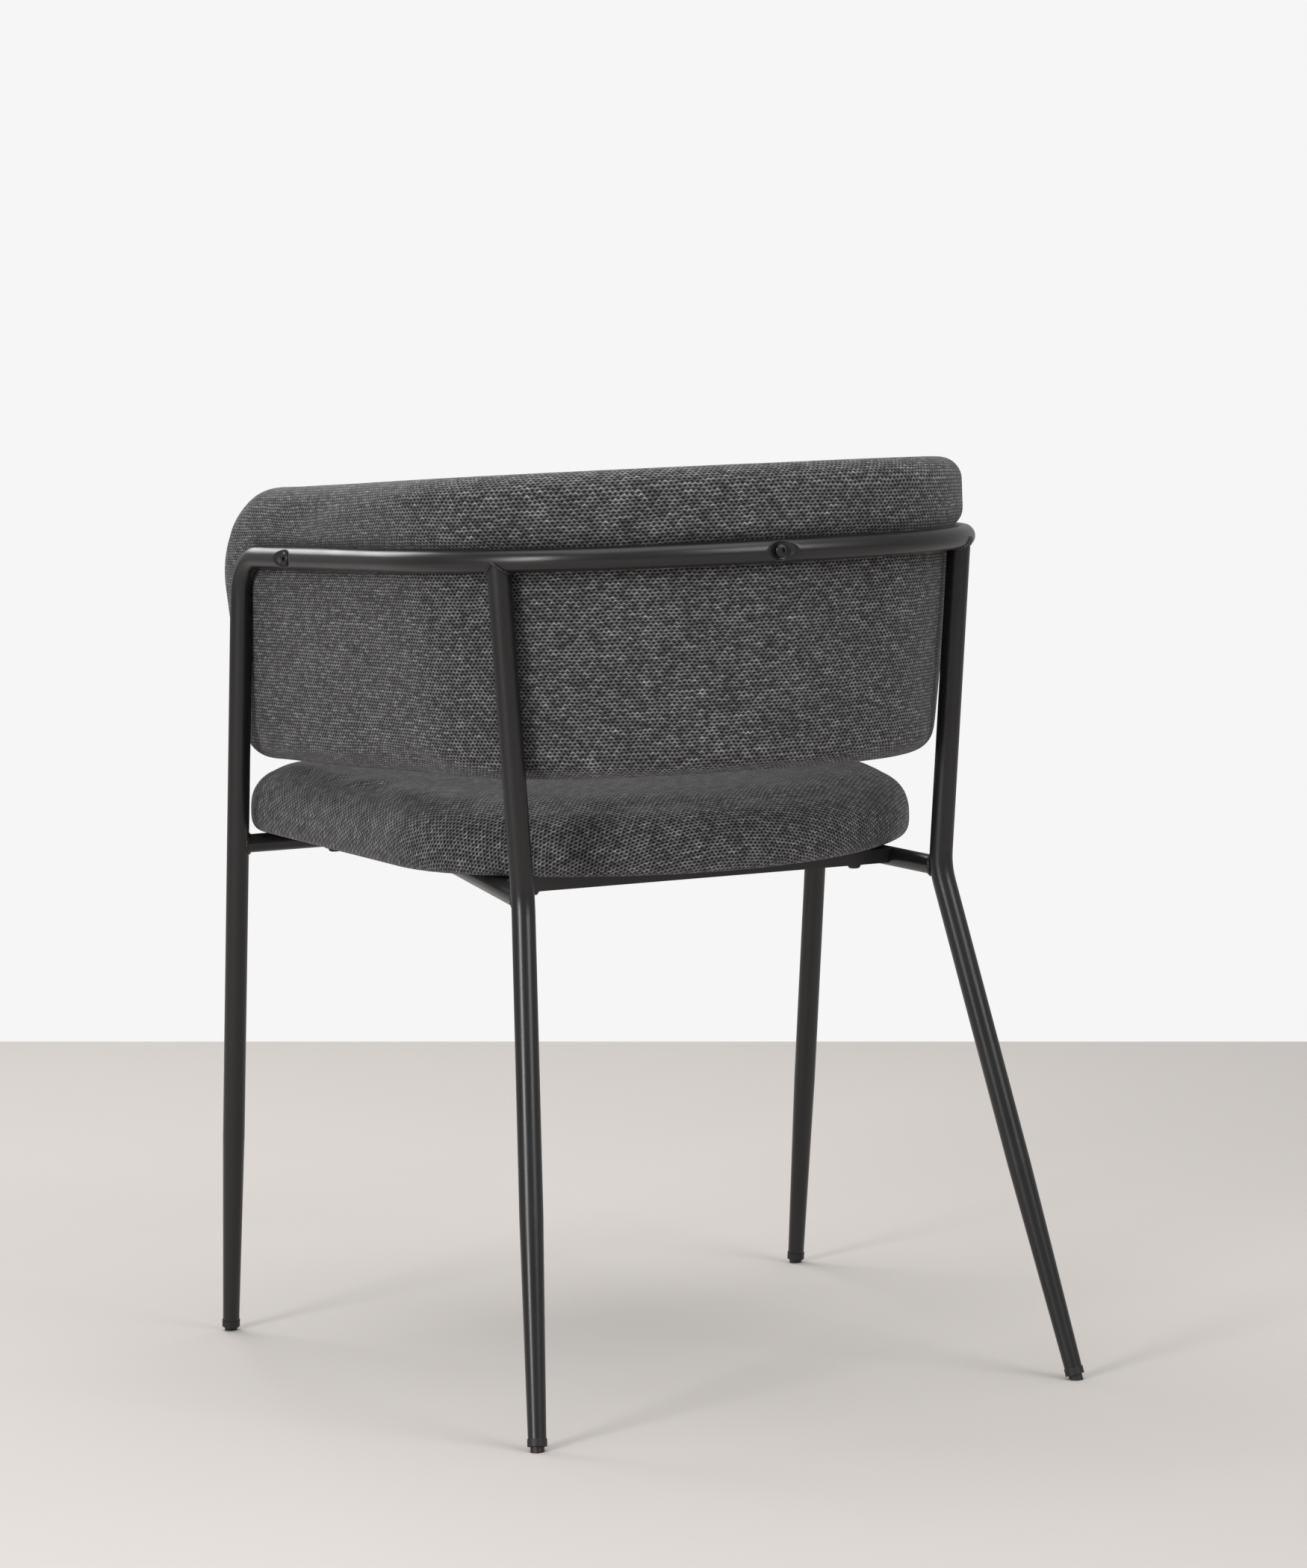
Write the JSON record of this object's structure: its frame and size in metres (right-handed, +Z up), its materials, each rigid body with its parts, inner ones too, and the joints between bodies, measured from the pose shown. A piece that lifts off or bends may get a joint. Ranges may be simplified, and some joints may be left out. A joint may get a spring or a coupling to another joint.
{
  "type": "dining chair",
  "caption": "Dining chair with a bent round-tube frame, a wrap-round upholstered back pad held by a rail, a round-edged seat pad and splayed tapered legs.",
  "frame": {"origin": "on the floor under the middle of the chair's overall width and depth", "axes": "+Z up, -Y towards the front of the chair, +X towards the sitter's left"},
  "size_m": [0.5772, 0.6144, 0.7565],
  "materials": {
    "frame": "satin black powder coat",
    "glide": "matt black moulded nylon",
    "upholstery": "grey melange woven chenille",
    "foam": "cut polyurethane foam",
    "plywood": "raw birch plywood",
    "dust_cloth": "black spun-bonded cloth",
    "zinc": "bright zinc plate",
    "fastener": "black oxide"
  },
  "bodies": {
    "root": {"back_rail": "frame", "front_leg_left": "frame", "front_leg_right": "frame", "rear_leg_left": "frame", "rear_leg_right": "frame", "front_cross_tube": "frame", "side_tube_left": "frame", "side_tube_right": "frame", "rear_cross_bar": "frame", "glide_front_left": "glide", "glide_front_right": "glide", "glide_rear_left": "glide", "glide_rear_right": "glide", "seat_board": "plywood", "seat_foam": "foam", "seat_cover": "upholstery", "seat_dust_cloth": "dust_cloth", "seat_tee_nuts": "zinc", "seat_bolts": "fastener", "seat_washers": "fastener", "back_shell": "plywood", "back_foam": "foam", "back_cover": "upholstery", "back_inserts": "zinc", "back_screws": "fastener"}
  },
  "joints": []
}
